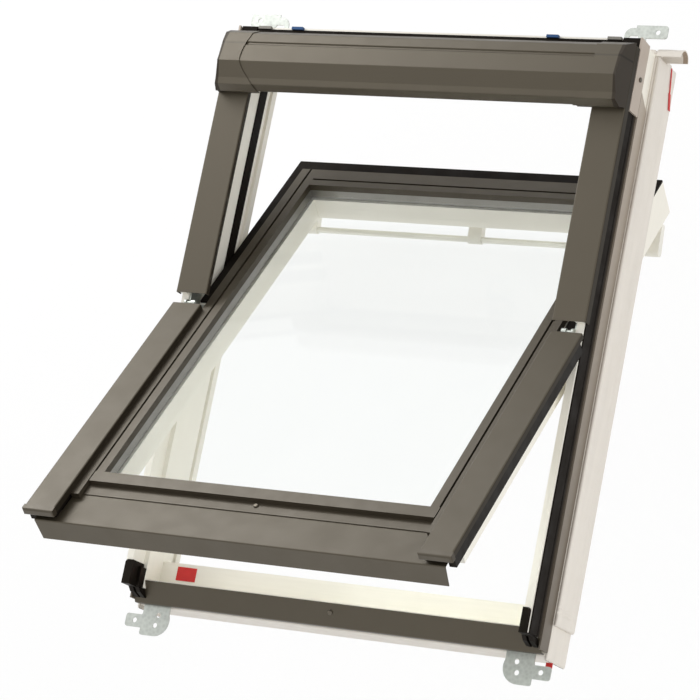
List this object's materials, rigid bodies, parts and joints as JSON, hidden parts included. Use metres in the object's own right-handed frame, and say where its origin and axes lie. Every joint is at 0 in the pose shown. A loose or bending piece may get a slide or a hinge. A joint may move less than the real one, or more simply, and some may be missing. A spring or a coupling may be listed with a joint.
{
  "type": "roof window",
  "caption": "Centre-pivot roof window with a white timber frame, grey-brown metal cladding, a glazed sash held open on side pivots, and a control bar under its top rail.",
  "frame": {"origin": "centre of the corner brackets' tab screw holes, on the plane that the brackets seat on the roof battens", "axes": "+X to the right seen from outside, +Y up the roof slope, +Z out of the roof to the sky"},
  "size_m": [0.836, 1.134, 0.6525],
  "materials": {
    "white_timber": "white lacquer, satin",
    "cladding": "grey-brown lacquer, satin metallic",
    "dark_trim": "grey-brown lacquer, satin",
    "cap_plastic": "fine satin grain",
    "beige_plastic": "satin",
    "black_plastic": "fine grain",
    "gasket": "matt",
    "foam": "soft matt foam with a film face",
    "zinc_steel": "zinc plated",
    "screw_steel": "plated",
    "glass": "clear polished",
    "spacer_bar": "plain",
    "blue_plastic": "satin",
    "grey_plastic": "satin",
    "red_plastic": "satin",
    "bar_metal": "satin anodised",
    "white_plastic": "satin"
  },
  "bodies": {
    "frame": {"left_jamb": "white_timber", "right_jamb": "white_timber", "head": "white_timber", "sill": "white_timber", "left_upper_cover": "cladding", "right_upper_cover": "cladding", "left_side_strip": "beige_plastic", "right_side_strip": "beige_plastic", "left_hood_side_plate": "beige_plastic", "right_hood_side_plate": "beige_plastic", "hood": "cladding", "left_hood_end_cap": "cap_plastic", "right_hood_end_cap": "cap_plastic", "sill_cover_strip": "cladding", "left_corner_block": "black_plastic", "right_corner_block": "black_plastic", "jamb_gaskets": "gasket", "side_gaskets": "gasket", "left_collar": "foam", "right_collar": "foam", "top_collar": "foam", "bottom_collar": "foam", "corner_brackets": "zinc_steel", "bracket_screws": "screw_steel", "hood_clips": "blue_plastic", "hood_spacers": "grey_plastic", "hood_seal": "gasket", "cladding_screws": "screw_steel", "left_frame_hinge": "zinc_steel", "right_frame_hinge": "zinc_steel", "striker": "zinc_steel", "sill_label": "red_plastic", "pull_tabs": "red_plastic"},
    "sash": {"left_sash_stile": "white_timber", "right_sash_stile": "white_timber", "sash_top_rail": "white_timber", "sash_bottom_rail": "white_timber", "outer_pane": "glass", "inner_pane": "glass", "glass_spacer": "spacer_bar", "left_glazing_trim": "dark_trim", "right_glazing_trim": "dark_trim", "top_glazing_trim": "dark_trim", "bottom_glazing_bead": "dark_trim", "left_sash_cover": "cladding", "right_sash_cover": "cladding", "left_cover_end_cap": "cap_plastic", "right_cover_end_cap": "cap_plastic", "left_cover_rail": "black_plastic", "right_cover_rail": "black_plastic", "apron": "cladding", "apron_screw": "screw_steel", "sash_edge_gasket": "gasket", "left_sash_hinge": "zinc_steel", "right_sash_hinge": "zinc_steel", "bar_lugs": "white_plastic"},
    "control_bar": {"control_bar": "bar_metal", "bar_arms": "white_plastic"},
    "latch_bolt": {"latch_bolt": "zinc_steel"}
  },
  "joints": [
    {"name": "sash_pivot", "type": "hinge", "parent": "frame", "child": "sash", "pos_m": [0, 0, 0.079], "axis": [-1, 0, 0], "range_deg": [-35.5, 94.5]},
    {"name": "bar_turn", "type": "hinge", "parent": "sash", "child": "control_bar", "pos_m": [0, 0.27757, -0.23446], "axis": [-1, 0, 0], "range_deg": [0, 24]},
    {"name": "latch_slide", "type": "slide", "parent": "sash", "child": "latch_bolt", "axis": [0, 0.8141, -0.5807], "range_m": [0, 0.012]}
  ],
  "couplings": [
    {"joint": "latch_slide", "follows": "bar_turn", "m_per_rad": 0.028648}
  ]
}
